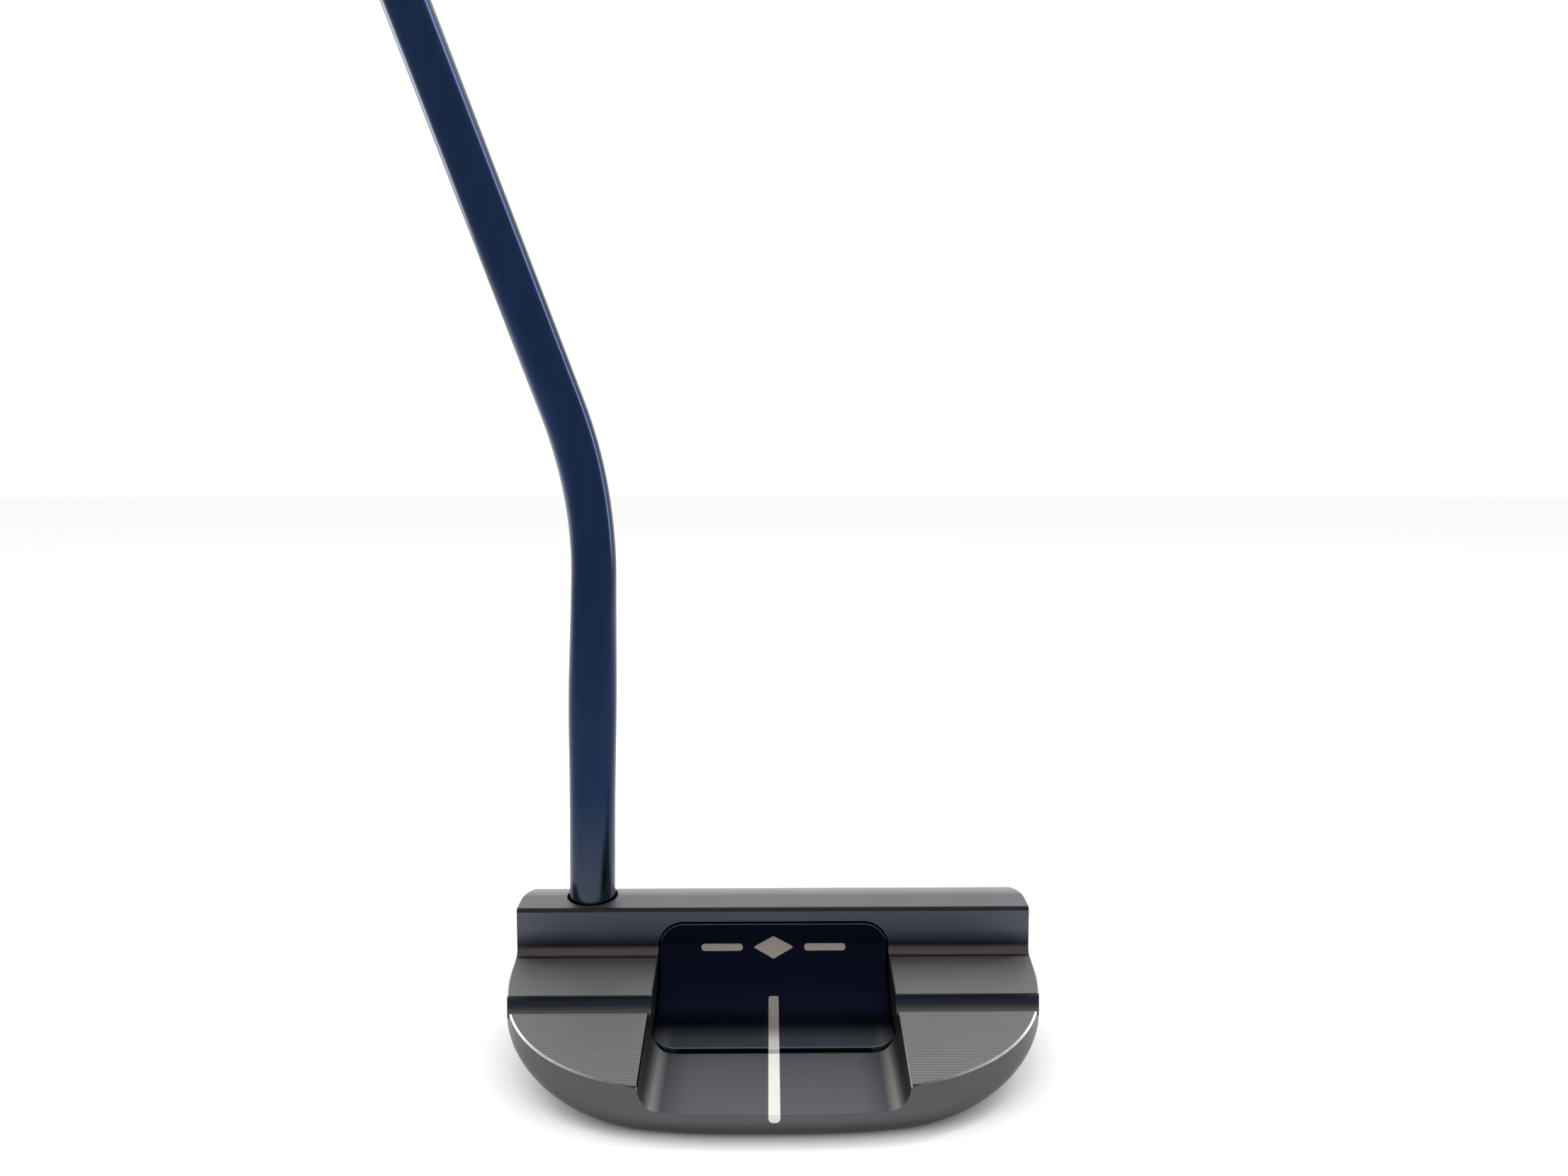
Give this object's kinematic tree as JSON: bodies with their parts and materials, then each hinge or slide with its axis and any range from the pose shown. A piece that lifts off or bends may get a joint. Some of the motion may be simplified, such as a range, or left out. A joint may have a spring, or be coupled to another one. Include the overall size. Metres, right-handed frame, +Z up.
{
  "type": "mallet putter",
  "caption": "Right-handed mid-mallet golf putter: milled steel head with an open rear channel, dark L-shaped insert and sight line, double-bend steel shaft and rubber grip.",
  "frame": {"origin": "the middle of the flat land of the sole, on the surface that the putter rests on", "axes": "+Z up at address, +Y towards the target out of the striking face, +X towards the toe, -X towards the heel and the player"},
  "size_m": [0.3739, 0.0664, 0.843],
  "materials": {
    "head_steel": "milled and satin finished",
    "insert_anodised": "black anodised, fine bead blasted",
    "hardware_steel": "turned",
    "sight_fill": "paint filled",
    "emblem_fill": "paint filled",
    "shaft_finish": "gloss black",
    "epoxy": "cured resin",
    "cork": "raw",
    "damping_film": "matt",
    "tape": "matt",
    "grip_rubber": "moulded, fine pattern"
  },
  "bodies": {
    "root": {"head_body": "head_steel", "cavity_insert": "insert_anodised", "insert_membrane": "damping_film", "sole_plate": "insert_anodised", "sight_line_insert": "sight_fill", "sight_line_floor": "sight_fill", "sole_screw_1": "hardware_steel", "sole_screw_2": "hardware_steel", "sole_screw_3": "hardware_steel", "heel_weight": "hardware_steel", "toe_weight": "hardware_steel", "emblem_bar_heel": "emblem_fill", "emblem_bar_toe": "emblem_fill", "emblem_lozenge": "emblem_fill", "shaft": "shaft_finish", "shaft_epoxy": "epoxy", "shaft_tip_plug": "cork", "grip_tape": "tape", "grip": "grip_rubber", "grip_cap": "grip_rubber"}
  },
  "joints": []
}
